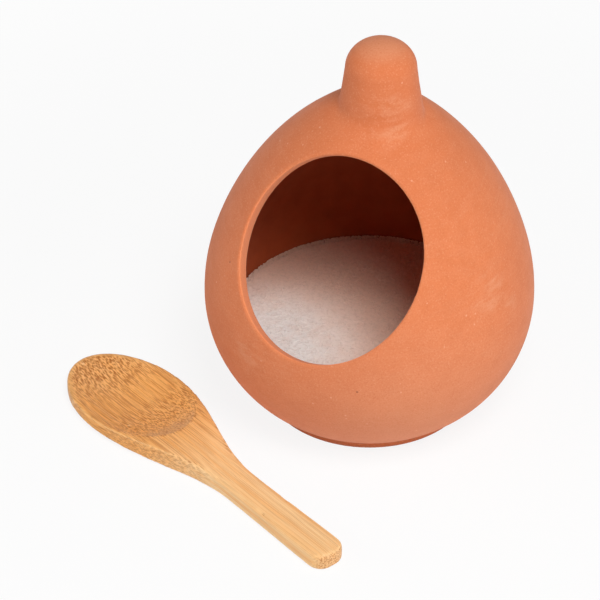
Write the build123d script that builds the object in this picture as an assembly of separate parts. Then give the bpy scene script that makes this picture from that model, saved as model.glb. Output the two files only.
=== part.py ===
from build123d import *
from math import cos, radians, sin, sqrt
import os

# Salt pig: a terracotta jar with a wide tilted mouth, its bed of salt and a bamboo spoon.
# Millimetres, +Z up. The jar's axis is Z, its foot stands on Z = 0 and the mouth faces -Y.

# Jar body
BELLY_DIAMETER = 115.0
BELLY_HEIGHT = 42.6  # widest level above the table
SHOULDER_RISE = 19.15  # from the widest level up to where the belly turns to shoulder
SHOULDER_INSET = 2.67  # how far in from the widest place that is
SHOULDER_TOP = 122.4  # where the shoulder's curve ends, inside the knob
SHOULDER_TOP_RADIUS = 8.0
WALL = 6.5

# Turned foot
FOOT_DIAMETER = 71.0
FOOT_HEIGHT = 3.0
FOOT_STEP = 1.6  # the belly overhangs the foot by this much
FOOT_RING_WIDTH = 7.0
FOOT_RECESS = 2.0
FOOT_EDGE = 0.8

# Knob, formed by hand a little off the jar's axis
KNOB_ROOT_RADIUS = 15.4
KNOB_ROOT_DEPTH = 12.0  # below the shoulder's top
KNOB_TOP_RADIUS = 12.2
KNOB_DOME_SHARE = 0.46  # how much of the knob's height above the shoulder is its dome
KNOB_DOME_FULLNESS = 0.56  # how squarely the dome turns from side to top
KNOB_OFF_AXIS = 3.1
KNOB_FILLET = 2.5
HEIGHT = 144.8

# Mouth
MOUTH_WIDTH = 63.2
MOUTH_LENGTH = 71.0
MOUTH_TILT = 34.0  # the mouth looks up by this angle
MOUTH_ROLL = -11.0  # the cut oval leans to one side
MOUTH_AXIS_HEIGHT = 54.1  # where the mouth's axis crosses the jar's
LIP_EASE = 1.0  # the cut edges are wiped down by this much

# Salt
SALT_LEVEL = 29.6
SALT_CLEARANCE = 0.3

# Spoon outline
SPOON_LENGTH = 139.7
BOWL_WIDTH = 37.7
BOWL_TIP = 30.2  # from the bowl's widest place to the tip
NECK_RUN = 59.8  # from the bowl's widest place back to the narrow of the handle
SIDE_EASE = 0.356  # how gently the sides' curves start and end, as a share of their run
HANDLE_WIDTH = 11.8
HANDLE_END_WIDTH = 12.9
HANDLE_END_ROUND = 5.0

# Spoon heights, seen from its side
HANDLE_THICKNESS = 6.2
HEEL_THICKNESS = 7.0
HEEL_RUN = 26.5  # from the bowl's widest place back to the heel
RIM_HEIGHT = 5.6
TIP_HEIGHT = 5.0
TIP_THICKNESS = 3.0
UNDER_RADIUS = 96.0  # round of the underside, from side to side
UNDER_FLAT = 14.4  # width of the strip that the spoon rests on

# Hollow of the spoon
HOLLOW_WIDTH = 35.4
HOLLOW_DEPTH = 3.6
HOLLOW_LEAD = 2.5  # its widest place, ahead of the bowl's
HOLLOW_TIP_RIM = 1.4
SIDE_OVERRUN = 1.0  # the side view runs past both ends of the outline

# Where the spoon lies beside the jar, seen from above
SPOON_TURN = 152.1  # the way it points, from +X
SPOON_ASIDE = 15.35  # from the belly out to the spoon's middle line
SPOON_BEHIND = 68.2  # the handle's end, back from where that line passes nearest to the jar's axis

os.makedirs("parts", exist_ok=True)

LOW = (Align.CENTER, Align.CENTER, Align.MIN)
belly_radius = BELLY_DIAMETER / 2
foot_radius = FOOT_DIAMETER / 2


def half_section(belly, under, turn, top):
    """Half section, as radius and height, of three arcs that run on from each other."""
    under_arc = TangentArc(belly, under, tangent=(0, -1))
    belly_arc = TangentArc(belly, turn, tangent=(0, 1))
    shoulder_arc = TangentArc(turn, top, tangent=belly_arc % 1)
    core = Polyline(top, (0, top[1]), (0, under[1]), under)
    return under_arc, belly_arc, shoulder_arc, core


def inwards(point, arc):
    """The place one wall thickness inside a point of an arc."""
    outwards = (Vector(*point) - arc.arc_center).normalized()
    inner = Vector(*point) - outwards * WALL
    return (inner.X, inner.Y)


def turned(section):
    """Turn a half section round the jar's axis."""
    return revolve(Plane.XZ * make_face(section), Axis.Z, 360)


# Clay body: underside, belly and shoulder
belly_point = (belly_radius, BELLY_HEIGHT)
under_point = (foot_radius + FOOT_STEP, FOOT_HEIGHT)
turn_point = (belly_radius - SHOULDER_INSET, BELLY_HEIGHT + SHOULDER_RISE)
top_point = (SHOULDER_TOP_RADIUS, SHOULDER_TOP)
outside = half_section(belly_point, under_point, turn_point, top_point)
body = turned(outside)

# The inside follows the outside at one wall thickness
under_arc, belly_arc, shoulder_arc, core = outside
inner_belly = inwards(belly_point, belly_arc)
inner_under = inwards(under_point, under_arc)
inner_turn = inwards(turn_point, belly_arc)
inner_top = inwards(top_point, shoulder_arc)
inside = turned(half_section(inner_belly, inner_under, inner_turn, inner_top))

# Knob, a tapered stem with a domed top
dome_height = (HEIGHT - SHOULDER_TOP) * KNOB_DOME_SHARE
dome_level = HEIGHT - dome_height
root_level = SHOULDER_TOP - KNOB_ROOT_DEPTH
stem_points = [(KNOB_TOP_RADIUS, dome_level), (KNOB_ROOT_RADIUS, root_level), (0, root_level), (0, HEIGHT)]
stem = Polyline(*stem_points)
dome_side = (KNOB_TOP_RADIUS, dome_level + dome_height * KNOB_DOME_FULLNESS)
dome_top = (KNOB_TOP_RADIUS * KNOB_DOME_FULLNESS, HEIGHT)
dome = Bezier((KNOB_TOP_RADIUS, dome_level), dome_side, dome_top, (0, HEIGHT))
knob = Pos(KNOB_OFF_AXIS, 0, 0) * turned([stem, dome])

# Foot ring with a shallow recess inside it
foot = Cylinder(foot_radius, FOOT_HEIGHT + FOOT_STEP, align=LOW)
foot = chamfer(foot.edges().group_by(Axis.Z)[0], FOOT_EDGE)
recess = Cylinder(foot_radius - FOOT_RING_WIDTH, FOOT_RECESS, align=LOW)

# Mouth, an oval cut along its own axis
tilt = radians(MOUTH_TILT)
mouth_plane = Plane((0, 0, MOUTH_AXIS_HEIGHT), x_dir=(1, 0, 0), z_dir=(0, -cos(tilt), sin(tilt)))
mouth_oval = Ellipse(MOUTH_WIDTH / 2, MOUTH_LENGTH / 2, rotation=MOUTH_ROLL)
mouth = extrude(mouth_plane * mouth_oval, BELLY_DIAMETER)

knob_seam = new_edges(body, knob, combined=body + knob)
solid_jar = fillet(knob_seam, KNOB_FILLET) + foot - recess
open_jar = solid_jar - mouth - inside
lip = new_edges(solid_jar, mouth, inside, combined=open_jar)
jar = chamfer(lip, LIP_EASE)
export_step(jar, "parts/jar.step")

# Salt, settled on the jar's floor up to one level
level = Pos(0, 0, SALT_LEVEL) * Box(BELLY_DIAMETER, BELLY_DIAMETER, HEIGHT, align=LOW)
salt_belly = (inner_belly[0] - SALT_CLEARANCE, inner_belly[1])
salt_under = (inner_under[0] - SALT_CLEARANCE, inner_under[1])
salt_turn = (inner_turn[0] - SALT_CLEARANCE, inner_turn[1])
salt_top = (inner_top[0] - SALT_CLEARANCE, inner_top[1])
salt = turned(half_section(salt_belly, salt_under, salt_turn, salt_top)) - level
export_step(salt, "parts/salt.step")

# Spoon, drawn along +X from the end of its handle: first its outline from above
widest = SPOON_LENGTH - BOWL_TIP
narrow = widest - NECK_RUN
bowl_half = BOWL_WIDTH / 2
handle_half = HANDLE_WIDTH / 2
end_half = HANDLE_END_WIDTH / 2


def eased(start, end):
    """A side's curve that leaves and arrives along the spoon."""
    ease = (start[0] - end[0]) * SIDE_EASE
    return Bezier(start, (start[0] - ease, start[1]), (end[0] + ease, end[1]), end)


tip_curve = EllipticalCenterArc((widest, 0), BOWL_TIP, bowl_half, start_angle=0, arc_size=90)
neck_start = (widest, bowl_half)
neck_end = (narrow, handle_half)
neck_curve = eased(neck_start, neck_end)
grip_end = (HANDLE_END_ROUND, end_half)
grip_curve = eased(neck_end, grip_end)
end_curve = JernArc(grip_end, (-1, 0), HANDLE_END_ROUND, 90)
middle = Polyline(end_curve @ 1, (0, 0), (SPOON_LENGTH, 0))
half_outline = make_face([tip_curve, neck_curve, grip_curve, end_curve, middle])
outline = half_outline + mirror(half_outline, about=Plane.XZ)
board = extrude(outline, 2 * HEEL_THICKNESS)

# Then its side view: thickest at the heel of the bowl, thin at the tip
back = -SIDE_OVERRUN
front = SPOON_LENGTH + SIDE_OVERRUN
heel = widest - HEEL_RUN
top_points = [(back, HANDLE_THICKNESS), (narrow, HANDLE_THICKNESS), (heel, HEEL_THICKNESS),
              (widest, RIM_HEIGHT), (front, TIP_HEIGHT)]
top_curve = Spline(*top_points, tangents=[(1, 0), (1, 0)])
under_line = Line((back, 0), (heel, 0))
under_curve = TangentArc((heel, 0), (front, TIP_HEIGHT - TIP_THICKNESS), tangent=(1, 0))
back_end = Line((back, 0), (back, HANDLE_THICKNESS))
front_end = Line(under_curve @ 1, (front, TIP_HEIGHT))
side_view = make_face([top_curve, under_line, under_curve, back_end, front_end])
side = extrude(Plane.XZ * side_view, BOWL_WIDTH, both=True)

# The underside rounds up to both edges
bar_level = sqrt(UNDER_RADIUS**2 - (UNDER_FLAT / 2) ** 2)
bar = Pos(SPOON_LENGTH / 2, 0, bar_level) * Rot(0, 90, 0) * Cylinder(UNDER_RADIUS, 2 * SPOON_LENGTH)
blank = board & side & bar

# The hollow is turned round a line high above the bowl, from the heel to the tip's rim
scoop = ((HOLLOW_WIDTH / 2) ** 2 + HOLLOW_DEPTH**2) / (2 * HOLLOW_DEPTH)
scoop_level = RIM_HEIGHT - HOLLOW_DEPTH + scoop
scoop_x = widest + HOLLOW_LEAD


def share_at(level):
    """How much of the scoop's length is left at a level."""
    return sqrt(1 - ((scoop_level - level) / scoop) ** 2)


heel_reach = (scoop_x - heel) / share_at(HEEL_THICKNESS)
tip_reach = (SPOON_LENGTH - HOLLOW_TIP_RIM - scoop_x) / share_at(TIP_HEIGHT)
heel_arc = EllipticalCenterArc((scoop_x, 0), heel_reach, scoop, start_angle=90, arc_size=90)
tip_arc = EllipticalCenterArc((scoop_x, 0), tip_reach, scoop, start_angle=0, arc_size=90)
scoop_axis = Line((scoop_x - heel_reach, 0), (scoop_x + tip_reach, 0))
hollow = Pos(0, 0, scoop_level) * revolve(make_face([heel_arc, tip_arc, scoop_axis]), Axis.X, 360)

aside = belly_radius + SPOON_ASIDE
spoon = Rot(0, 0, SPOON_TURN) * Pos(-SPOON_BEHIND, aside, 0) * (blank - hollow)
export_step(spoon, "parts/spoon.step")
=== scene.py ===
from math import cos, pi, radians, sin

import bpy
import numpy as np
from bpy.props import FloatProperty, FloatVectorProperty, IntProperty, PointerProperty
from mathutils import Matrix, Vector, noise


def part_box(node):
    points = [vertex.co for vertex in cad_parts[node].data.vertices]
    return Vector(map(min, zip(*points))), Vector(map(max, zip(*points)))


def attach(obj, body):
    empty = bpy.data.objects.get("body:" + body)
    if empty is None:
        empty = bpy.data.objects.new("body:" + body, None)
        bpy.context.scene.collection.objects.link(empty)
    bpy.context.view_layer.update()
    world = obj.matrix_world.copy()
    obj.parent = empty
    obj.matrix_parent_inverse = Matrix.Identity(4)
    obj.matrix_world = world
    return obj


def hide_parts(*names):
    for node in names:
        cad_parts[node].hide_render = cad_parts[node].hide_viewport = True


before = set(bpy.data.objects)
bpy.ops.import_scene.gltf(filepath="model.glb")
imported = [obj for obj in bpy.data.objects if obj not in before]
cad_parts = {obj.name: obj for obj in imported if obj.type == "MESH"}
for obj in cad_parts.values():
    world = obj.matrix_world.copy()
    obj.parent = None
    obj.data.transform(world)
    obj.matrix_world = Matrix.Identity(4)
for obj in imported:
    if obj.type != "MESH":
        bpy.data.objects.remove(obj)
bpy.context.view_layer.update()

bl_info = {
    "name": "Salt Pig",
    "version": (1, 0, 0),
    "blender": (4, 5, 0),
    "location": "View3D > Sidebar > Salt Pig",
    "description": "Dresses a terracotta salt jar, its salt and its bamboo spoon",
    "category": "Object",
}

# The least distance that anything is divided by, in metres
TINY = 1e-6


# Sizes and colours that a user would change


class StageSettings(bpy.types.PropertyGroup):
    """The camera, the lights and the table."""

    camera_azimuth: FloatProperty(
        name="Camera azimuth",
        description="How far round from the jar's front the camera stands",
        default=radians(22.7),
        subtype="ANGLE",
    )
    camera_elevation: FloatProperty(
        name="Camera elevation",
        description="How far above the table the camera looks down from",
        default=radians(36.5),
        subtype="ANGLE",
    )
    camera_distance: FloatProperty(
        name="Camera distance",
        description="From the camera to the middle of the picture",
        default=1.2229,
        unit="LENGTH",
    )
    aim_aside: FloatProperty(
        name="Aim aside",
        description="How far left of the jar's axis the camera aims, to take in the spoon",
        default=0.02414,
        unit="LENGTH",
    )
    aim_height: FloatProperty(
        name="Aim height",
        description="How far above the table the camera aims",
        default=0.03737,
        unit="LENGTH",
    )
    lens: FloatProperty(
        name="Lens",
        description="Focal length of the camera, in millimetres",
        default=210.0,
    )
    key_power: FloatProperty(
        name="Key light",
        description="Power of the soft light above the jar and in front of it",
        default=10.4,
        unit="POWER",
    )
    side_power: FloatProperty(
        name="Side light",
        description="Power of the soft light at the jar's right",
        default=6.4,
        unit="POWER",
    )
    fill_power: FloatProperty(
        name="Fill light",
        description="Power of the weak soft light at the jar's left",
        default=3.8,
        unit="POWER",
    )
    room_light: FloatProperty(
        name="Room light",
        description="Strength of the even white light from all round",
        default=0.13,
        min=0.0,
    )
    table_colour: FloatVectorProperty(
        name="Table",
        description="Colour of the pale table top",
        default=(0.9, 0.9, 0.9, 1.0),
        subtype="COLOR",
        size=4,
        min=0.0,
        max=1.0,
    )
    table_white: FloatProperty(
        name="Table white",
        description="How much of plain white the camera sees in the table near the jar",
        default=0.87,
        subtype="FACTOR",
        min=0.0,
        max=1.0,
    )


class JarSettings(bpy.types.PropertyGroup):
    """The terracotta jar."""

    clay_colour: FloatVectorProperty(
        name="Clay",
        description="Main colour of the fired clay",
        default=(0.71, 0.207, 0.079, 1.0),
        subtype="COLOR",
        size=4,
        min=0.0,
        max=1.0,
    )
    # Also painted shade: the foot's ring is drawn in this colour, as in the shade under the belly.
    deep_and_shade_colour: FloatVectorProperty(
        name="Deep clay",
        description="Redder colour where the clay fired harder",
        default=(0.6, 0.155, 0.055, 1.0),
        subtype="COLOR",
        size=4,
        min=0.0,
        max=1.0,
    )
    # Also painted light: the knob's top, the low front of the belly and the band over the foot take this
    # colour.
    bloom_and_light_colour: FloatVectorProperty(
        name="Bloom",
        description="Pale dusty bloom and smudges on the clay",
        default=(0.76, 0.34, 0.19, 1.0),
        subtype="COLOR",
        size=4,
        min=0.0,
        max=1.0,
    )
    # Painted light: the brighter clay on the mouth's cut edge stands in for the light falling on it.
    lit_lip_colour: FloatVectorProperty(
        name="Lip",
        description="Brighter clay on the mouth's cut edge",
        default=(0.88, 0.285, 0.118, 1.0),
        subtype="COLOR",
        size=4,
        min=0.0,
        max=1.0,
    )
    # Painted shade: the darker clay inside the jar stands in for the shade in its hollow.
    shaded_inside_colour: FloatVectorProperty(
        name="Inside",
        description="Darker tone of the clay inside the jar",
        default=(0.43, 0.08, 0.02, 1.0),
        subtype="COLOR",
        size=4,
        min=0.0,
        max=1.0,
    )
    mesh_step: FloatProperty(
        name="Mesh step",
        description="Size of the faces of the jar's skin",
        default=0.0006,
        unit="LENGTH",
    )
    foot_spread: FloatProperty(
        name="Foot spread",
        description="How far the hand-turned foot spreads under the belly",
        default=0.0012,
        unit="LENGTH",
    )
    full_shoulder: FloatProperty(
        name="Full shoulder",
        description="How far the shoulder swells behind the knob, on one side",
        default=0.0013,
        unit="LENGTH",
    )
    wobble: FloatProperty(
        name="Wobble",
        description="How far the hand-finished wall dips from a true round",
        default=0.0002,
        unit="LENGTH",
    )
    sand_size: FloatProperty(
        name="Sand size",
        description="Size of the grains in the clay",
        default=0.0006,
        unit="LENGTH",
    )


class SaltSettings(bpy.types.PropertyGroup):
    """The bed of salt."""

    salt_colour: FloatVectorProperty(
        name="Salt",
        description="Colour of the salt near the mouth",
        default=(0.98, 0.925, 0.88, 1.0),
        subtype="COLOR",
        size=4,
        min=0.0,
        max=1.0,
    )
    reddened_colour: FloatVectorProperty(
        name="Reddened salt",
        description="Redder tone of the salt away from the mouth, as if lit by light off the clay",
        default=(0.93, 0.6, 0.45, 1.0),
        subtype="COLOR",
        size=4,
        min=0.0,
        max=1.0,
    )
    mesh_step: FloatProperty(
        name="Mesh step",
        description="Size of the faces of the salt's surface",
        default=0.0005,
        unit="LENGTH",
    )
    unevenness: FloatProperty(
        name="Unevenness",
        description="How far the settled surface dips below its level",
        default=0.0004,
        unit="LENGTH",
    )
    grain_size: FloatProperty(
        name="Grain size",
        description="Usual width of one crystal",
        default=0.00045,
        unit="LENGTH",
    )
    grain_count: IntProperty(
        name="Grains",
        description="How many loose crystals lie on the surface",
        default=7600,
        min=0,
    )
    bank_count: IntProperty(
        name="Bank grains",
        description="How many crystals are banked up against the wall",
        default=9000,
        min=0,
    )
    bank_height: FloatProperty(
        name="Bank height",
        description="How high the crystals are banked up against the wall",
        default=0.0015,
        unit="LENGTH",
    )
    seed: IntProperty(
        name="Seed",
        description="Start of the random places of the crystals",
        default=7,
    )


class SpoonSettings(bpy.types.PropertyGroup):
    """The bamboo spoon."""

    bamboo_colour: FloatVectorProperty(
        name="Bamboo",
        description="Pale ground of the bamboo",
        default=(0.99, 0.67, 0.345, 1.0),
        subtype="COLOR",
        size=4,
        min=0.0,
        max=1.0,
    )
    honey_colour: FloatVectorProperty(
        name="Honey",
        description="Warmer streaks of the bamboo",
        default=(0.93, 0.4, 0.08, 1.0),
        subtype="COLOR",
        size=4,
        min=0.0,
        max=1.0,
    )
    fibre_colour: FloatVectorProperty(
        name="Fibre",
        description="Dark fibre bundles",
        default=(0.42, 0.135, 0.022, 1.0),
        subtype="COLOR",
        size=4,
        min=0.0,
        max=1.0,
    )
    cut_colour: FloatVectorProperty(
        name="Cut bamboo",
        description="Duller colour where the fibres are cut across",
        default=(0.7, 0.37, 0.165, 1.0),
        subtype="COLOR",
        size=4,
        min=0.0,
        max=1.0,
    )
    mesh_step: FloatProperty(
        name="Mesh step",
        description="Size of the faces of the spoon's skin",
        default=0.0004,
        unit="LENGTH",
    )
    edge_rounds: IntProperty(
        name="Edge rounds",
        description="How many times the sharp edges are sanded over",
        default=5,
        min=0,
    )
    fibre_gap: FloatProperty(
        name="Fibre gap",
        description="Usual distance from one fibre bundle to the next",
        default=0.0006,
        unit="LENGTH",
    )
    fibre_dip: FloatProperty(
        name="Fibre dip",
        description="Slope of the fibres under the bowl's tip and over its heel",
        default=0.12,
    )


# Shader helpers


WHITE = (1.0, 1.0, 1.0, 1.0)


def new_material(name):
    """A material with its node tree and its main shader."""
    material = bpy.data.materials.new(name)
    material.use_nodes = True
    tree = material.node_tree
    return material, tree, tree.nodes["Principled BSDF"]


def add(tree, kind, inputs=None, **settings):
    """Add a shader node; an input is a plain value or another node's output."""
    made = tree.nodes.new(kind)
    for key, value in settings.items():
        setattr(made, key, value)
    for socket, value in (inputs or {}).items():
        feed(tree, made.inputs[socket], value)
    return made


def feed(tree, socket, value):
    """Give a socket a plain value or another node's output."""
    if isinstance(value, bpy.types.NodeSocket):
        tree.links.new(value, socket)
    else:
        socket.default_value = value


def clouds(tree, place, size, detail, roughness=0.5):
    """Soft noise with lumps of about one size, from 0 to 1."""
    inputs = {"Vector": place, "Scale": 1.0 / size, "Detail": detail, "Roughness": roughness}
    return add(tree, "ShaderNodeTexNoise", inputs).outputs["Fac"]


def drawn_clouds(tree, place, sizes, detail, roughness=0.5):
    """Soft noise with lumps of a size of its own along each axis, from 0 to 1."""
    scale = [1.0 / size for size in sizes]
    drawn = add(tree, "ShaderNodeMapping", {"Vector": place, "Scale": scale}).outputs["Vector"]
    return clouds(tree, drawn, 1.0, detail, roughness)


def calc(tree, operation, first, second):
    """One sum on two numbers."""
    return add(tree, "ShaderNodeMath", {0: first, 1: second}, operation=operation).outputs[0]


def times(tree, first, second):
    """The product of two numbers."""
    return calc(tree, "MULTIPLY", first, second)


def measure(tree, operation, first, second=(0.0, 0.0, 0.0)):
    """One sum on two vectors that gives a number."""
    return add(tree, "ShaderNodeVectorMath", {0: first, 1: second}, operation=operation).outputs["Value"]


def coordinate(tree, place, axis):
    """One coordinate of a place."""
    return add(tree, "ShaderNodeSeparateXYZ", {0: place}).outputs[axis]


def between(tree, value, low, high, start=0.0, end=1.0):
    """Smooth step from start to end while the value goes from low to high."""
    inputs = {"Value": value, "From Min": low, "From Max": high, "To Min": start, "To Max": end}
    return add(tree, "ShaderNodeMapRange", inputs, interpolation_type="SMOOTHSTEP").outputs["Result"]


def blend(tree, share, first, second):
    """Two colours mixed by a share."""
    return add(tree, "ShaderNodeMix", {0: share, 6: first, 7: second}, data_type="RGBA").outputs[2]


def darker(colour, share):
    """A colour with its light cut to a share."""
    return [share * part for part in colour[:3]] + [1.0]


def dots(tree, place, gap, radius, share):
    """Small round marks in a share of the cells of a random grid."""
    cells = add(tree, "ShaderNodeTexVoronoi", {"Vector": place, "Scale": 1.0 / gap})
    pick = add(tree, "ShaderNodeSeparateColor", {"Color": cells.outputs["Color"]}).outputs[0]
    chosen = between(tree, pick, 1.0 - share, 1.0 - share * 0.8)
    edge = radius / gap
    return times(tree, chosen, between(tree, cells.outputs["Distance"], edge, edge * 0.5))


def near(tree, place, middle, reach):
    """1 at a place, falling to 0 at its reach."""
    return between(tree, measure(tree, "DISTANCE", place, middle), reach, 0.0)


def bump(tree, shader, height, depth):
    """Raise the surface's grain by a height map."""
    made = add(tree, "ShaderNodeBump", {"Height": height, "Distance": depth, "Strength": 1.0})
    tree.links.new(made.outputs["Normal"], shader.inputs["Normal"])


# Mesh helpers


# How far a point moves towards the middle of its neighbours in one round of easing
EASE_STEP = 0.5


def new_piece(name, mesh):
    """An object for a mesh, put in the scene."""
    piece = bpy.data.objects.new(name, mesh)
    bpy.context.scene.collection.objects.link(piece)
    return piece


def fine_copy(node, name, step, rounds):
    """A copy of a solid's skin as an even fine mesh with its edges eased."""
    piece = new_piece(name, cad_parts[node].data.copy())
    even = piece.modifiers.new("even_mesh", "REMESH")
    even.mode = "VOXEL"
    even.voxel_size = step
    ease = piece.modifiers.new("eased_edges", "SMOOTH")
    ease.factor = EASE_STEP
    ease.iterations = rounds
    graph = bpy.context.evaluated_depsgraph_get()
    skin = bpy.data.meshes.new_from_object(piece.evaluated_get(graph))
    piece.modifiers.clear()
    piece.data = skin
    skin.name = name
    if len(skin.vertices) == 0:
        raise RuntimeError(f"{name} has no faces after its mesh was made even")
    return piece


def points_of(piece, kind="co"):
    """A mesh's points, or with the kind normal their normals, as an array."""
    vertices = piece.data.vertices
    numbers = np.empty(len(vertices) * 3)
    vertices.foreach_get(kind, numbers)
    return numbers.reshape(-1, 3)


def eased(piece, points, weights, rounds):
    """Points drawn towards the middle of their neighbours, each by its own weight."""
    ends = np.empty(len(piece.data.edges) * 2, np.int32)
    piece.data.edges.foreach_get("vertices", ends)
    first, second = ends.reshape(-1, 2).T
    used = (weights[first] > 0.0) | (weights[second] > 0.0)
    ends = np.concatenate((first[used], second[used]))
    others = np.concatenate((second[used], first[used]))
    count = np.maximum(np.bincount(ends, minlength=len(points)), 1)
    for _ in range(rounds):
        middle = [np.bincount(ends, points[others, axis], len(points)) / count for axis in range(3)]
        points = points + EASE_STEP * weights[:, None] * (np.stack(middle, axis=1) - points)
    return points


def set_points(piece, points, node):
    """Move a mesh's points, kept inside the box of the solid it stands for."""
    low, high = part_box(node)
    held = np.clip(points, np.array(low), np.array(high))
    piece.data.vertices.foreach_set("co", held.ravel())
    piece.data.update()


def dress(piece, material, body, node):
    """Give a piece its finish, and let it stand for its solid."""
    piece.data.materials.clear()
    piece.data.materials.append(material)
    piece.data.polygons.foreach_set("use_smooth", [True] * len(piece.data.polygons))
    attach(piece, body)
    if node:
        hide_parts(node)


def dips(points, size):
    """Noise at each point, from 0 to 1, with dips of about one size."""
    return 0.5 + 0.5 * np.array([noise.noise(Vector(point) / size) for point in points])


def off_axis(points, middle=(0.0, 0.0)):
    """How far each point is from an upright line."""
    return np.hypot(points[:, 0] - middle[0], points[:, 1] - middle[1])


# Terracotta jar


# The jar's skin: how often its edges are eased, the size of its dips, and the level where they start
JAR_ROUNDS = 3
WOBBLE_SIZE = 0.035
WOBBLE_START = 0.004

# The middle of the jar's hollow
HOLLOW_MIDDLE = (0.0, 0.0, 0.05)

# Sizes of the clay's clouds of firing and mottling, wiped lines and rubbed dust, and its grain's depth
FIRED_SIZE = 0.05
MOTTLE_SIZE = 0.006
WIPED_SIZES = (0.03, 0.03, 0.0011)
RUBBED_SIZES = (0.009, 0.009, 0.003)
SAND_DEPTH = 0.0001

# Dusty places on the clay: where each one is, and how far it reaches
SMUDGES = (
    ((0.011, -0.011, 0.123), 0.014),
    ((0.050, -0.018, 0.066), 0.013),
    ((0.055, -0.011, 0.057), 0.008),
    ((-0.023, -0.052, 0.045), 0.010),
)

# Specks of grit and small pits: the size of a cell, a mark's radius, and the share of cells with one
SPECKS = (0.0022, 0.00045, 0.05)
SPECK_COLOUR = (0.85, 0.48, 0.32, 1.0)
PITS = (0.009, 0.0005, 0.14)
PIT_COLOUR = (0.25, 0.06, 0.025, 1.0)

# The low front of the belly, painted paler with light thrown up off the table: its middle, and how far it
# reaches
LIT_LOW_FRONT = ((0.03, -0.045, 0.012), 0.07)

# Levels above the table, from none to full: the body, the knob's deeper clay, the painted light on its top,
# and the lip's painted light
BODY_TOP = (0.115, 0.1)
KNOB_DEEP = (0.112, 0.124)
KNOB_LIT_TOP = (0.14, 0.1448)
LIT_LIP_START = (0.012, 0.018)

# How squarely a face looks away from the hollow's middle, from none to full: for the painted light on the
# lip, and for the painted shade inside
LIT_LIP_FACING = (0.45, 0.2)
SHADED_INSIDE_FACING = (-0.74, -0.86)

# The foot's ring: its height, its soft edge, the painted highlight over it, and the radii of its spread
FOOT_BAND = 0.003
FOOT_EDGE = 0.0006
FOOT_HIGHLIGHT = 0.004
FOOT_RADII = (0.030, 0.034, 0.0355, 0.0371)

# The fuller shoulder: the way it faces, the levels and curve of its rise, and where it leaves the knob
SHOULDER_SIDE = (0.459, 0.889)
SHOULDER_LEVELS = (0.05, 0.117)
SHOULDER_CURVE = 1.5
SHOULDER_FROM_KNOB = (0.013, 0.018)

# The knob's root: the middle and radius of its ring, how far it is eased, on which side, and how often
KNOB_ROOT = (0.0031, 0.0, 0.117)
KNOB_ROOT_RADIUS = 0.015
KNOB_ROOT_REACH = 0.008
KNOB_ROOT_SIDE = (0.4, -0.917)
KNOB_ROOT_ROUNDS = 120


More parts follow.
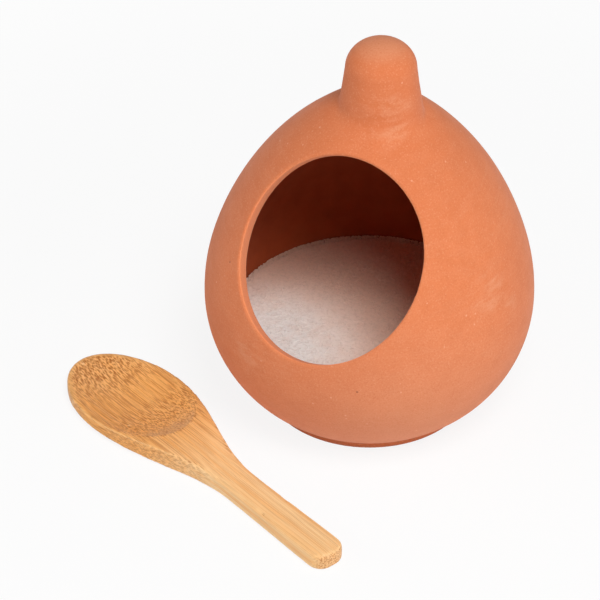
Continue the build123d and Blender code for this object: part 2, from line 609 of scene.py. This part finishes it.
def terracotta(look):
    """Unglazed fired clay: clouded colour, sandy grain, wiped lines, specks, pits and dusty smudges, with
    painted light on the knob's top, the low front, the lip and over the foot, painted highlights on sharp
    edges, and painted shade on the foot's ring and inside.
    """
    material, tree, shader = new_material("terracotta")
    place = add(tree, "ShaderNodeTexCoord").outputs["Object"]
    level = coordinate(tree, place, "Z")
    facing = wall_facing(tree, place)
    fired = clouds(tree, place, FIRED_SIZE, 3.0)
    mottle = clouds(tree, place, MOTTLE_SIZE, 4.0, 0.6)
    sand = clouds(tree, place, look.sand_size, 3.0, 0.7)
    wiped = drawn_clouds(tree, place, WIPED_SIZES, 3.0, 0.6)
    rubbed = drawn_clouds(tree, place, RUBBED_SIZES, 5.0, 0.65)
    specks = dots(tree, place, *SPECKS)
    pits = dots(tree, place, *PITS)
    worn_and_lit_edge = add(tree, "ShaderNodeNewGeometry").outputs["Pointiness"]
    dusty = 0.0
    for middle, reach in SMUDGES:
        dusty = calc(tree, "MAXIMUM", near(tree, place, middle, reach), dusty)
    dusty = between(tree, dusty, 0.0, 0.7, 0.08, 0.45)
    smudge = times(tree, between(tree, rubbed, 0.4, 0.7), dusty)
    on_body = between(tree, level, *BODY_TOP)
    lines = times(tree, on_body, between(tree, wiped, 0.5, 0.8, 0.0, 0.14))
    # Painted light: the low front of the belly is drawn paler, where light off the table falls on it.
    painted_bounce_light = times(tree, near(tree, place, *LIT_LOW_FRONT), 0.45)
    # Painted light: the mouth's cut edge is drawn brighter, where the light falls on it.
    lit_lip = times(tree, between(tree, facing, *LIT_LIP_FACING, 0.0, 0.85), between(tree, level, *LIT_LIP_START))
    # Painted highlight: a pale band on the belly's lower edge, over the foot's ring.
    rim = between(tree, level, FOOT_BAND + FOOT_HIGHLIGHT, FOOT_BAND, 0.0, 0.3)
    # Painted shade: the foot's ring is drawn in deeper clay, as in the shade under the belly.
    foot_shade = between(tree, level, FOOT_BAND, FOOT_BAND - FOOT_EDGE, 0.0, 0.85)

    layers = (
        (between(tree, fired, 0.35, 0.7, 0.0, 0.4), look.deep_and_shade_colour),
        (between(tree, mottle, 0.35, 0.75, 0.0, 0.34), look.deep_and_shade_colour),
        (between(tree, level, *KNOB_DEEP, 0.0, 0.35), look.deep_and_shade_colour),
        # Painted light: the knob's top is drawn paler, as where the light falls on it.
        (between(tree, level, *KNOB_LIT_TOP, 0.0, 0.4), look.bloom_and_light_colour),
        (painted_bounce_light, look.bloom_and_light_colour),
        (times(tree, lit_lip, on_body), look.lit_lip_colour),
        (rim, look.bloom_and_light_colour),
        (foot_shade, look.deep_and_shade_colour),
        (smudge, look.bloom_and_light_colour),
        (lines, look.bloom_and_light_colour),
        (between(tree, sand, 0.52, 0.75, 0.0, 0.55), look.bloom_and_light_colour),
        (between(tree, sand, 0.48, 0.28, 0.0, 0.55), look.deep_and_shade_colour),
        (times(tree, specks, 0.45), SPECK_COLOUR),
        (times(tree, pits, 0.5), PIT_COLOUR),
        # Partly wear and partly painted highlight: sharp edges are drawn paler.
        (between(tree, worn_and_lit_edge, 0.53, 0.62, 0.0, 0.12), look.bloom_and_light_colour),
    )
    colour = look.clay_colour
    for share, tint in layers:
        colour = blend(tree, share, colour, tint)
    # Painted shade: faces that look back into the hollow take the darker inside clay, in patches.
    patches = darker(look.shaded_inside_colour, 0.9)
    inside = blend(tree, between(tree, mottle, 0.3, 0.7), look.shaded_inside_colour, patches)
    colour = blend(tree, between(tree, facing, *SHADED_INSIDE_FACING), colour, inside)
    feed(tree, shader.inputs["Base Color"], colour)

    height = times(tree, times(tree, on_body, wiped), 0.25)
    height = calc(tree, "ADD", height, times(tree, sand, 0.6))
    height = calc(tree, "SUBTRACT", height, times(tree, pits, 1.5))
    bump(tree, shader, height, SAND_DEPTH)
    feed(tree, shader.inputs["Roughness"], between(tree, mottle, 0.2, 0.8, 0.82, 0.95))
    shader.inputs["Specular IOR Level"].default_value = 0.25
    shader.inputs["Sheen Weight"].default_value = 0.08
    shader.inputs["Sheen Roughness"].default_value = 0.5
    return material


def wall_facing(tree, place):
    """1 where a face looks straight away from the hollow's middle, and -1 where it looks back at it."""
    offset = add(tree, "ShaderNodeVectorMath", {0: place, 1: HOLLOW_MIDDLE}, operation="SUBTRACT")
    outwards = add(tree, "ShaderNodeVectorMath", {0: offset.outputs["Vector"]}, operation="NORMALIZE")
    normal = add(tree, "ShaderNodeTexCoord").outputs["Normal"]
    return measure(tree, "DOT_PRODUCT", outwards.outputs["Vector"], normal)


def root_side(points):
    """How much of the knob's root is eased at each point, from 0 to 1: its front, near the root's ring."""
    out = off_axis(points, KNOB_ROOT)
    away = np.hypot(out - KNOB_ROOT_RADIUS, points[:, 2] - KNOB_ROOT[2])
    facing = (points[:, :2] - KNOB_ROOT[:2]) @ KNOB_ROOT_SIDE / np.maximum(out, TINY)
    # Full within half the reach, and where a point is well round to the eased side
    by_place = np.clip(2.0 - 2.0 * away / KNOB_ROOT_REACH, 0.0, 1.0)
    by_side = np.clip(1.6 * facing - 0.3, 0.0, 1.0)
    return by_place * by_side


def spread_foot(points, spread):
    """Points with the foot's ring spread outwards."""
    out = off_axis(points)
    in_ring = points[:, 2] < FOOT_BAND + FOOT_EDGE
    share = np.interp(out, FOOT_RADII, (0.0, 1.0, 1.0, 0.0)) * in_ring
    moved = points.copy()
    moved[:, :2] *= (1.0 + spread * share / np.maximum(out, TINY))[:, None]
    return moved


def shoulder_side(points, normals):
    """How much of the fuller shoulder each point takes, from 0 to 1."""
    facing = np.clip(points[:, :2] @ SHOULDER_SIDE / np.maximum(off_axis(points), TINY), 0.0, 1.0)
    level = np.interp(points[:, 2], SHOULDER_LEVELS, (0.0, 1.0)) ** SHOULDER_CURVE
    off_knob = np.interp(off_axis(points, KNOB_ROOT), SHOULDER_FROM_KNOB, (0.0, 1.0))
    outer = np.sum((points - HOLLOW_MIDDLE) * normals, axis=1) > 0.0
    return facing * level * off_knob * outer


class SALTPIG_OT_jar(bpy.types.Operator):
    """Make the terracotta jar"""

    bl_idname = "salt_pig.jar"
    bl_label = "Terracotta Jar"

    def execute(self, context):
        look = context.scene.salt_pig_jar
        jar = fine_copy("jar", "terracotta_jar", look.mesh_step, JAR_ROUNDS)
        points = points_of(jar)
        normals = points_of(jar, "normal")
        points = eased(jar, points, root_side(points), KNOB_ROOT_ROUNDS)
        above_foot = np.clip(points[:, 2] / WOBBLE_START - 1.0, 0.0, 1.0)
        sink = look.wobble * dips(points, WOBBLE_SIZE) * above_foot
        swell = look.full_shoulder * shoulder_side(points, normals)
        points = spread_foot(points, look.foot_spread) + normals * (swell - sink)[:, None]
        set_points(jar, points, "jar")
        dress(jar, terracotta(look), "jar", "jar")
        return {"FINISHED"}


# Salt


# The bed: how often its edges are eased, the size of its dips, and its grit's size in grains and depth
SALT_ROUNDS = 2
DIP_SIZE = 0.02
GRIT_GRAINS = 3.0
GRIT_DEPTH = 0.0004

# The size of the salt's drifts, and the depth of its grain
DRIFT_SIZE = 0.008
SALT_DEPTH = 0.00025

# Painted light: the salt is whitest where light through the mouth falls, and redder, as painted shade, away
# from it: the pool's middle, and how far it reaches
SALT_LIGHT_POOL = ((-0.031, -0.033, 0.03), 0.06)

# One crystal: a cube's corners and sides, the range of its size, and of its width along each axis
CUBE = np.array([(x, y, z) for x in (-1, 1) for y in (-1, 1) for z in (-1, 1)], float) / 2.0
CUBE_SIDES = ((0, 1, 3, 2), (4, 6, 7, 5), (0, 4, 5, 1), (2, 3, 7, 6), (0, 2, 6, 4), (1, 5, 7, 3))
CRYSTAL_SIZES = (0.5, 1.3)
CRYSTAL_WIDTHS = (0.7, 1.0)

# The bank: how far below the bed's top it starts, its width in grains, and the share past the bed's edge
BANK_START = 0.0007
BANK_GRAINS = 4.0
BANK_SPILL = 0.3


def salt_crystals(look):
    """White salt: bright grain in clumps, with a painted pool of light under the mouth and painted redder
    shade away from it, and light passing a little way in.
    """
    material, tree, shader = new_material("salt_crystals")
    place = add(tree, "ShaderNodeTexCoord").outputs["Object"]
    grain = clouds(tree, place, look.grain_size * 2.0, 3.0, 0.65)
    drift = clouds(tree, place, DRIFT_SIZE, 3.0)
    # Painted light and shade: a lit pool of the salt's own colour under the mouth, redder elsewhere.
    white = between(tree, near(tree, place, *SALT_LIGHT_POOL), -0.1, 0.85)
    colour = blend(tree, white, look.reddened_colour, look.salt_colour)
    colour = blend(tree, between(tree, drift, 0.45, 0.7, 0.0, 0.2), colour, look.reddened_colour)
    shade = between(tree, grain, 0.54, 0.34, 0.0, 0.22)
    colour = blend(tree, shade, colour, darker(look.reddened_colour, 0.6))
    feed(tree, shader.inputs["Base Color"], colour)
    feed(tree, shader.inputs["Roughness"], between(tree, grain, 0.3, 0.8, 0.35, 0.7))
    bump(tree, shader, grain, SALT_DEPTH)
    shader.inputs["Subsurface Weight"].default_value = 0.25
    shader.inputs["Subsurface Radius"].default_value = (0.001, 0.001, 0.001)
    shader.inputs["Subsurface Scale"].default_value = 1.0
    return material


class SALTPIG_OT_salt(bpy.types.Operator):
    """Make the bed of salt and the loose crystals on it"""

    bl_idname = "salt_pig.salt"
    bl_label = "Salt"

    def execute(self, context):
        look = context.scene.salt_pig_salt
        bed = fine_copy("salt", "salt_bed", look.mesh_step, SALT_ROUNDS)
        points = points_of(bed)
        on_top = points[:, 2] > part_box("salt")[1].z - look.mesh_step
        sink = look.unevenness * dips(points, DIP_SIZE)
        sink = sink + GRIT_DEPTH * dips(points, look.grain_size * GRIT_GRAINS)
        points[on_top, 2] -= sink[on_top]
        set_points(bed, points, "salt")
        finish = salt_crystals(look)
        dress(bed, finish, "jar", "salt")
        grains = self.grains(look, points[on_top])
        dress(grains, finish, "jar", None)
        return {"FINISHED"}

    def grains(self, look, surface):
        """Loose crystals, worn cubes turned at random, half sunk in the surface or banked at the wall."""
        draw = np.random.default_rng(look.seed)
        out = off_axis(surface)
        reach = out.max()
        inside = out < reach - look.grain_size
        seats = surface[inside][draw.integers(0, inside.sum(), look.grain_count)]
        seats = np.concatenate((seats, self.bank(look, draw, reach, surface[:, 2].max())))
        points = []
        faces = []
        for seat in seats:
            size = look.grain_size * draw.uniform(*CRYSTAL_SIZES)
            turn = Matrix.Rotation(draw.uniform(0, pi), 3, Vector(draw.normal(size=3)))
            corners = CUBE * draw.uniform(*CRYSTAL_WIDTHS, 3) * size
            first = len(points)
            points.extend(corners @ np.array(turn).T + seat)
            faces.extend([tuple(first + corner for corner in side) for side in CUBE_SIDES])
        mesh = bpy.data.meshes.new("salt_grains")
        mesh.from_pydata(points, [], faces)
        return new_piece("salt_grains", mesh)

    def bank(self, look, draw, reach, level):
        """Places for crystals along the wall, higher the nearer they are to it."""
        count = look.bank_count
        turn = draw.uniform(0.0, 2.0 * pi, count)
        rise = draw.uniform(0.0, 1.0, count)
        inset = draw.uniform(-BANK_SPILL, 1.0, count) * (1.0 - rise) * BANK_GRAINS * look.grain_size
        out = reach - inset
        height = level - BANK_START + rise * look.bank_height
        return np.stack((out * np.cos(turn), out * np.sin(turn), height), axis=1)


# Bamboo spoon


# How far back from the spoon's tip the bowl's middle and its heel are, and how long the heel's slope is
BOWL_MIDDLE = 0.028
BOWL_HEEL = 0.0567
HEEL_SLOPE = 0.015

# How far back from the tip, from none to full: the bowl's tone, its inside, whose warmer honey is partly
# the bamboo's own and partly painted light thrown about the hollow, and the cut fibres
BOWL_TONE = (0.085, 0.045)
INSIDE_TIP = (0.008, 0.028)
CUT_FIBRES = (0.09, 0.07)

# The handle's edges are sanded rounder: how far back from the tip that starts, its run, and how often
HANDLE_START = 0.062
HANDLE_RUN = 0.02
HANDLE_ROUNDS = 30

# Sizes of the bamboo's pattern along, across and through the spoon, and the depth of its fibres
STREAK_SIZES = (0.06, 0.0016, 0.0016)
LINE_SIZES = (0.03, 0.00042, 0.00042)
HAIR_SIZES = (0.025, 0.0003, 0.0003)
TONE_SIZES = (0.08, 0.012, 0.012)
WANDER_SIZES = (0.03, 0.006, 0.006)
FIBRE_DEPTH = 0.00005

# How squarely a face looks towards the tip, from none to full: the heel's cut, and the handle's end
HEEL_FACING = (0.24, 0.29)
END_FACING = (-0.4, -0.8)

# The radius of a fibre bundle, from the thinnest to the thickest, as a share of the gap
BUNDLE_RADII = (0.3, 0.5)


def bamboo(look, along, tip):
    """Solid bamboo: fibres that run along the spoon, seen as dots where the surface cuts across them."""
    material, tree, shader = new_material("bamboo")
    seen = add(tree, "ShaderNodeTexCoord")
    normal = seen.outputs["Normal"]
    turn = (0.0, 0.0, -float(np.arctan2(along[1], along[0])))
    turned = add(tree, "ShaderNodeMapping", {"Vector": seen.outputs["Object"], "Rotation": turn})
    grain = turned.outputs["Vector"]
    facing = measure(tree, "DOT_PRODUCT", normal, (along[0], along[1], 0.0))
    ahead = coordinate(tree, grain, "X")
    bowl = between(tree, ahead, *back_from(tip, BOWL_TONE))
    inner = times(tree, bowl, between(tree, ahead, *back_from(tip, INSIDE_TIP), 0.7, 1.0))
    worn_and_lit_edge = add(tree, "ShaderNodeNewGeometry").outputs["Pointiness"]

    fibre = fibre_dots(tree, look, grain, tip)
    streaks = drawn_clouds(tree, grain, STREAK_SIZES, 4.0, 0.6)
    lines = drawn_clouds(tree, grain, LINE_SIZES, 3.0, 0.6)
    hairs = drawn_clouds(tree, grain, HAIR_SIZES, 2.0)
    tone = drawn_clouds(tree, grain, TONE_SIZES, 2.0)
    line_share = times(tree, between(tree, lines, 0.45, 0.64), between(tree, bowl, 0.0, 1.0, 0.17, 0.65))

    near_bowl = between(tree, ahead, *back_from(tip, CUT_FIBRES))
    at_tip = times(tree, between(tree, facing, 0.0, -0.17, 0.12, 1.0), near_bowl)
    at_heel = between(tree, facing, 0.0, 0.15, 0.12, 0.7)
    at_heel = times(tree, at_heel, between(tree, facing, 0.3, 0.2, 0.35, 1.0))
    on_top = between(tree, coordinate(tree, normal, "Z"), 0.6, 0.95, 0.45, 1.0)
    strength = times(tree, calc(tree, "MAXIMUM", at_tip, at_heel), on_top)
    strength = calc(tree, "MAXIMUM", strength, between(tree, facing, *END_FACING, 0.0, 0.7))

    layers = (
        (between(tree, streaks, 0.35, 0.75, 0.0, 0.42), look.honey_colour),
        (between(tree, tone, 0.4, 0.7, 0.0, 0.2), look.honey_colour),
        # Partly the bamboo's own tone and partly painted light: the bowl's inside is drawn warmer, as by
        # light thrown about the hollow.
        (times(tree, inner, 0.75), look.honey_colour),
        (between(tree, facing, *HEEL_FACING, 0.0, 0.6), look.cut_colour),
        (between(tree, facing, *END_FACING, 0.0, 0.35), look.cut_colour),
        (line_share, look.fibre_colour),
        (between(tree, hairs, 0.5, 0.75, 0.0, 0.2), look.fibre_colour),
        (times(tree, fibre, strength), look.fibre_colour),
        # Partly wear and partly painted highlight: sharp edges are drawn paler.
        (between(tree, worn_and_lit_edge, 0.515, 0.57, 0.0, 0.6), look.bamboo_colour),
    )
    colour = look.bamboo_colour
    for share, tint in layers:
        colour = blend(tree, share, colour, tint)
    feed(tree, shader.inputs["Base Color"], colour)

    bump(tree, shader, calc(tree, "ADD", hairs, times(tree, fibre, -0.8)), FIBRE_DEPTH)
    feed(tree, shader.inputs["Roughness"], between(tree, streaks, 0.3, 0.7, 0.45, 0.6))
    shader.inputs["Specular IOR Level"].default_value = 0.35
    return material


def back_from(tip, span):
    """Where a span's two ends are along the spoon, when they are given back from its tip."""
    return tip - span[0], tip - span[1]


def fibre_dots(tree, look, grain, tip):
    """The bundles' round sections, as a pattern across the spoon that hardly changes along it."""
    ahead = coordinate(tree, grain, "X")
    past_middle = calc(tree, "MAXIMUM", calc(tree, "SUBTRACT", ahead, tip - BOWL_MIDDLE), 0.0)
    past_heel = calc(tree, "MAXIMUM", calc(tree, "SUBTRACT", ahead, tip - BOWL_HEEL), 0.0)
    past_heel = calc(tree, "MINIMUM", past_heel, HEEL_SLOPE)
    bend = times(tree, calc(tree, "SUBTRACT", past_middle, past_heel), look.fibre_dip)
    wander = times(tree, drawn_clouds(tree, grain, WANDER_SIZES, 1.0), look.fibre_gap)
    level = calc(tree, "ADD", coordinate(tree, grain, "Z"), calc(tree, "ADD", bend, wander))
    across = coordinate(tree, grain, "Y")
    section = add(tree, "ShaderNodeCombineXYZ", {"X": across, "Y": level}).outputs["Vector"]
    inputs = {"Vector": section, "Scale": 1.0 / look.fibre_gap}
    cells = add(tree, "ShaderNodeTexVoronoi", inputs, voronoi_dimensions="2D")
    size = add(tree, "ShaderNodeSeparateColor", {"Color": cells.outputs["Color"]}).outputs[0]
    radius = between(tree, size, 0.0, 1.0, *BUNDLE_RADII)
    return between(tree, calc(tree, "DIVIDE", cells.outputs["Distance"], radius), 1.0, 0.6)


class SALTPIG_OT_spoon(bpy.types.Operator):
    """Make the bamboo spoon"""

    bl_idname = "salt_pig.spoon"
    bl_label = "Bamboo Spoon"

    def execute(self, context):
        look = context.scene.salt_pig_spoon
        spoon = fine_copy("spoon", "bamboo_spoon", look.mesh_step, look.edge_rounds)
        points = points_of(spoon)
        along = self.direction(points[:, :2])
        tip = float((points[:, :2] @ along).max())
        behind = tip - points[:, :2] @ along
        on_handle = np.clip((behind - HANDLE_START) / HANDLE_RUN, 0.0, 1.0)
        set_points(spoon, eased(spoon, points, on_handle, HANDLE_ROUNDS), "spoon")
        dress(spoon, bamboo(look, along, tip), "spoon", "spoon")
        return {"FINISHED"}

    def direction(self, points):
        """The way the spoon points on the table, from its handle to its bowl."""
        flat = points - points.mean(axis=0)
        spread, ways = np.linalg.eigh(flat.T @ flat)
        along = ways[:, np.argmax(spread)]
        run = flat @ along
        across = flat @ np.array((-along[1], along[0]))
        front = np.ptp(across[run > 0.5 * run.max()])
        back = np.ptp(across[run < 0.5 * run.min()])
        return along if front > back else -along


# Table, light and camera


# The table: its radius and corners, and how far from the jar it starts to turn white and is so
TABLE_REACH = 3.0
TABLE_CORNERS = 96
NEAR_TABLE = 0.13
FAR_TABLE = 0.45

# Each lamp: its name and power, how far it is to the right, towards the camera and up, and its width
LAMPS = (
    ("key_light", "key_power", (0.2, 0.58, 1.0), 0.5),
    ("side_light", "side_power", (0.95, 0.75, 0.12), 0.8),
    ("fill_light", "fill_power", (-1.0, 0.25, 0.25), 0.8),
)
LAMP_AIM = (0.0, 0.0, 0.06)

# The camera's sensor in millimetres, and how far it sees in metres
SENSOR_WIDTH = 36.0
VIEW_END = 20.0


def shown_rays(tree):
    """1 for what the camera sees, straight or in a reflection."""
    rays = add(tree, "ShaderNodeLightPath")
    seen = calc(tree, "MAXIMUM", rays.outputs["Is Camera Ray"], rays.outputs["Is Glossy Ray"])
    return calc(tree, "MAXIMUM", seen, rays.outputs["Is Transmission Ray"])


def table_top(look):
    """Pale matte table, near white to look at, that takes the object's shadow."""
    material, tree, shader = new_material("table_top")
    shader.inputs["Base Color"].default_value = look.table_colour
    shader.inputs["Roughness"].default_value = 0.9
    shader.inputs["Specular IOR Level"].default_value = 0.1
    white = add(tree, "ShaderNodeEmission", {"Color": WHITE, "Strength": 1.0})
    away = measure(tree, "LENGTH", add(tree, "ShaderNodeTexCoord").outputs["Object"])
    whiteness = between(tree, away, NEAR_TABLE, FAR_TABLE, look.table_white, 1.0)
    share = times(tree, shown_rays(tree), whiteness)
    mixed = add(tree, "ShaderNodeMixShader", {0: share, 1: shader.outputs[0], 2: white.outputs[0]})
    tree.links.new(mixed.outputs[0], tree.nodes["Material Output"].inputs["Surface"])
    return material


def white_room(look):
    """White to look at and in reflections, and a plain even light."""
    world = bpy.data.worlds.new("white_room")
    world.use_nodes = True
    tree = world.node_tree
    tree.nodes.clear()
    lit = add(tree, "ShaderNodeBackground", {"Color": WHITE, "Strength": look.room_light})
    shown = add(tree, "ShaderNodeBackground", {"Color": WHITE, "Strength": 1.0})
    inputs = {0: shown_rays(tree), 1: lit.outputs[0], 2: shown.outputs[0]}
    mixed = add(tree, "ShaderNodeMixShader", inputs)
    output = add(tree, "ShaderNodeOutputWorld")
    tree.links.new(mixed.outputs[0], output.inputs["Surface"])
    bpy.context.scene.world = world


def soft_light(name, place, aim, power, width):
    """A square soft light."""
    lamp = bpy.data.lights.new(name, "AREA")
    lamp.energy = power
    lamp.size = width
    made = new_piece(name, lamp)
    made.location = place
    made.rotation_euler = (aim - place).to_track_quat("-Z", "Y").to_euler()


class SALTPIG_OT_stage(bpy.types.Operator):
    """Set the table, the light and the camera"""

    bl_idname = "salt_pig.stage"
    bl_label = "Table, Light and Camera"

    def execute(self, context):
        look = context.scene.salt_pig_stage
        self.table(look)
        white_room(look)
        azimuth = look.camera_azimuth
        right = Vector((cos(azimuth), sin(azimuth), 0.0))
        toward = Vector((sin(azimuth), -cos(azimuth), 0.0))
        up = Vector((0.0, 0.0, 1.0))
        aim = Vector(LAMP_AIM)
        for name, power, (aside, ahead, above), width in LAMPS:
            place = aim + aside * right + ahead * toward + above * up
            soft_light(name, place, aim, getattr(look, power), width)
        self.camera(context, look, right, toward, up)
        context.scene.view_settings.view_transform = "Standard"
        return {"FINISHED"}

    def table(self, look):
        """A wide round table top at the level of the foot."""
        turns = [2 * pi * corner / TABLE_CORNERS for corner in range(TABLE_CORNERS)]
        rim = [(TABLE_REACH * cos(turn), TABLE_REACH * sin(turn), 0.0) for turn in turns]
        mesh = bpy.data.meshes.new("table")
        mesh.from_pydata(rim, [], [tuple(range(TABLE_CORNERS))])
        mesh.materials.append(table_top(look))
        table = new_piece("table", mesh)

    def camera(self, context, look, right, toward, up):
        """The photograph's camera."""
        aim = look.aim_height * up - look.aim_aside * right
        back = cos(look.camera_elevation) * toward + sin(look.camera_elevation) * up
        lens = bpy.data.cameras.new("camera")
        lens.lens = look.lens
        lens.sensor_width = SENSOR_WIDTH
        lens.clip_end = VIEW_END
        camera = new_piece("camera", lens)
        camera.location = aim + look.camera_distance * back
        camera.rotation_euler = (-back).to_track_quat("-Z", "Y").to_euler()
        context.scene.camera = camera


class SALTPIG_PT_panel(bpy.types.Panel):
    """The pieces of the salt pig and their settings"""

    bl_idname = "SALTPIG_PT_panel"
    bl_label = "Salt Pig"
    bl_space_type = "VIEW_3D"
    bl_region_type = "UI"
    bl_category = "Salt Pig"

    def draw(self, context):
        for operator, name, settings in PIECES:
            box = self.layout.box()
            box.operator(operator.bl_idname)
            for setting in settings.__annotations__:
                box.prop(getattr(context.scene, name), setting)


# Each operator, the scene's name for its settings, and their group
PIECES = (
    (SALTPIG_OT_jar, "salt_pig_jar", JarSettings),
    (SALTPIG_OT_salt, "salt_pig_salt", SaltSettings),
    (SALTPIG_OT_spoon, "salt_pig_spoon", SpoonSettings),
    (SALTPIG_OT_stage, "salt_pig_stage", StageSettings),
)


def register():
    for operator, name, settings in PIECES:
        bpy.utils.register_class(settings)
        setattr(bpy.types.Scene, name, PointerProperty(type=settings))
        bpy.utils.register_class(operator)
    bpy.utils.register_class(SALTPIG_PT_panel)


def unregister():
    bpy.utils.unregister_class(SALTPIG_PT_panel)
    for operator, name, settings in reversed(PIECES):
        bpy.utils.unregister_class(operator)
        delattr(bpy.types.Scene, name)
        bpy.utils.unregister_class(settings)


def main():
    register()
    bpy.ops.salt_pig.jar()
    bpy.ops.salt_pig.salt()
    bpy.ops.salt_pig.spoon()
    bpy.ops.salt_pig.stage()


if __name__ == "__main__":
    main()
